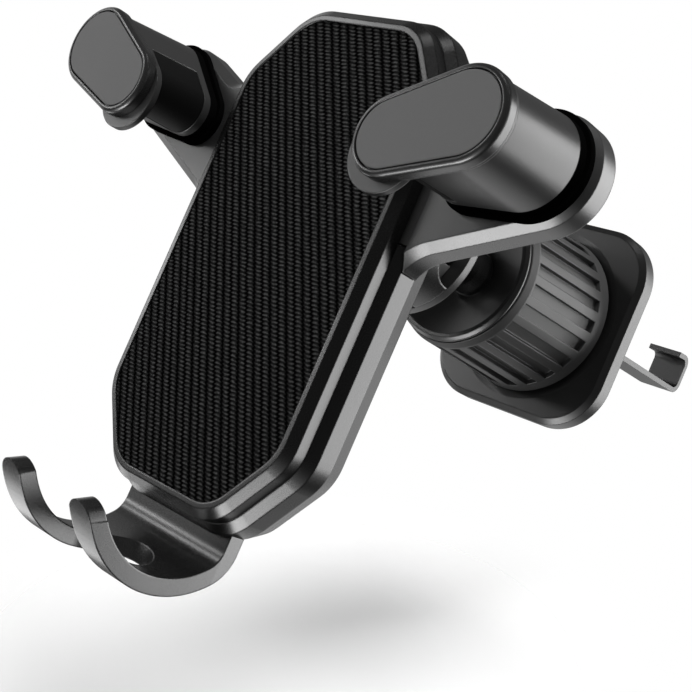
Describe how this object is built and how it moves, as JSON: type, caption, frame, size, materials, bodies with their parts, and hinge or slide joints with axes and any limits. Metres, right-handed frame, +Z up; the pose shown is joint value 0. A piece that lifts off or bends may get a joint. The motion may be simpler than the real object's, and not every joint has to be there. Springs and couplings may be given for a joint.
{
  "type": "air vent phone holder",
  "caption": "Vehicle phone holder: padded cradle with sliding clamp arms and hooked foot, ball joint, and a screw-down clip that hooks onto an air vent.",
  "frame": {"origin": "on the clip's axis, in the plane of the pad that rests on the air vent", "axes": "+Y towards the vent along the hook, -Y towards the driver, +X across the cradle, +Z up"},
  "size_m": [0.1266, 0.1832, 0.1205],
  "materials": {
    "satin_black": "satin moulded",
    "gloss_black": "polished bevel and shell",
    "cap_gray": "matt fine texture",
    "rubber_black": "woven pattern",
    "inner_gray": "plain moulded",
    "hook_metal": "brushed sheet",
    "screw_metal": "dark plated"
  },
  "bodies": {
    "clip": {"base_plate": "satin_black", "vent_pad": "rubber_black", "clip_cup": "satin_black"},
    "knob": {"clamp_knob": "satin_black"},
    "hook": {"vent_hook": "hook_metal", "hook_carrier": "inner_gray", "hook_rivets": "screw_metal"},
    "stud": {"ball_stud": "satin_black", "stud_clip": "screw_metal"},
    "liner": {"socket_liner": "inner_gray"},
    "cradle": {"front_shell": "gloss_black", "rear_shell": "gloss_black", "grip_pad": "rubber_black", "shell_screws": "screw_metal", "socket_ring": "satin_black"},
    "pinion": {"pinion": "inner_gray"},
    "foot": {"foot": "satin_black"},
    "right_arm": {"right_arm": "satin_black", "right_column": "gloss_black", "right_head": "satin_black", "right_head_panel": "cap_gray", "right_sleeve": "rubber_black", "right_arm_screws": "screw_metal"},
    "left_arm": {"left_arm": "satin_black", "left_column": "gloss_black", "left_head": "satin_black", "left_head_panel": "cap_gray", "left_sleeve": "rubber_black", "left_arm_screws": "screw_metal"}
  },
  "joints": [
    {"name": "knob_turn", "type": "hinge", "parent": "clip", "child": "knob", "pos_m": [0, 0, 0], "axis": [0, 1, 0], "range_deg": [0, 504]},
    {"name": "hook_slide", "type": "slide", "parent": "clip", "child": "hook", "axis": [0, -1, 0], "range_m": [0, 0.014]},
    {"name": "stud_swivel", "type": "hinge", "parent": "clip", "child": "stud", "pos_m": [0, -0.061, 0], "axis": [0, 1, 0], "continuous": true},
    {"name": "ball_tilt", "type": "hinge", "parent": "stud", "child": "liner", "pos_m": [0, -0.061, 0], "axis": [1, 0, 0], "range_deg": [-25, 25]},
    {"name": "cradle_roll", "type": "hinge", "parent": "liner", "child": "cradle", "pos_m": [0, -0.061, 0], "axis": [0, 1, 0], "continuous": true},
    {"name": "right_arm_slide", "type": "slide", "parent": "cradle", "child": "right_arm", "axis": [1, 0, 0], "range_m": [0, 0.011]},
    {"name": "left_arm_slide", "type": "slide", "parent": "cradle", "child": "left_arm", "axis": [-1, 0, 0], "range_m": [0, 0.011]},
    {"name": "pinion_turn", "type": "hinge", "parent": "cradle", "child": "pinion", "pos_m": [0, -0.0883, 0.0021], "axis": [0, 1, 0], "range_deg": [0, 90.1]},
    {"name": "foot_slide", "type": "slide", "parent": "cradle", "child": "foot", "axis": [0, 0, -1], "range_m": [0, 0.01]}
  ],
  "couplings": [
    {"joint": "hook_slide", "follows": "knob_turn", "m_per_rad": 0.0015915},
    {"joint": "left_arm_slide", "follows": "right_arm_slide", "ratio": 1},
    {"joint": "pinion_turn", "follows": "right_arm_slide", "rad_per_m": 142.86}
  ]
}
